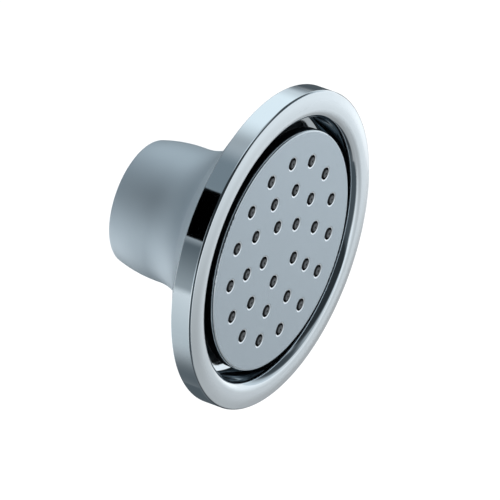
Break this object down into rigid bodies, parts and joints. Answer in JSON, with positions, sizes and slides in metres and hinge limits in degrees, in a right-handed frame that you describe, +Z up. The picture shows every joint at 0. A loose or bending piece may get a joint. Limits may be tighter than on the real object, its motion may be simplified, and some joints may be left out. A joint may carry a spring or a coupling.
{
  "type": "shower body jet",
  "caption": "Wall-mounted shower body jet: flared chrome bell housing with a rolled front ring and a flat round spray plate with rubber nozzles that swivels on a ball joint.",
  "frame": {"origin": "centre of the inlet socket's mouth, on the wall plane", "axes": "+Y into the wall along the jet's axis, so the spray plate faces -Y; +Z up; +X to the right seen from the front"},
  "size_m": [0.1, 0.0498, 0.1],
  "materials": {
    "chrome": "polished chrome plate on brass, softer on the sleeve and cone",
    "satin_chrome": "satin chrome plate",
    "brass": "turned, bare",
    "black_rubber": "moulded",
    "nozzle_rubber": "soft moulded, dark grey",
    "black_plastic": "fine moulded grain",
    "white_plastic": "smooth moulded",
    "steel": "plain stainless"
  },
  "bodies": {
    "wall_body": {"bell_housing": "chrome", "inlet_connector": "brass", "inlet_washer": "black_rubber", "filter_screen": "steel", "flow_limiter": "white_plastic", "limiter_o_ring": "black_rubber", "housing_gasket": "black_rubber", "lock_washer": "steel", "retaining_nut": "brass", "ball_seal": "black_rubber"},
    "seat": {"seat_ring": "white_plastic"},
    "spray_head": {"swivel_ball": "chrome", "stem_washer": "black_rubber", "back_shell": "black_plastic", "flow_plate": "white_plastic", "nozzle_mat": "nozzle_rubber", "face_plate": "satin_chrome", "face_screws": "steel"}
  },
  "joints": [
    {"name": "seat_turn", "type": "hinge", "parent": "wall_body", "child": "seat", "pos_m": [0, -0.0265, 0], "axis": [0, -1, 0], "continuous": true},
    {"name": "head_tilt", "type": "hinge", "parent": "seat", "child": "spray_head", "pos_m": [0, -0.0265, 0], "axis": [1, 0, 0], "range_deg": [-8, 8]}
  ]
}
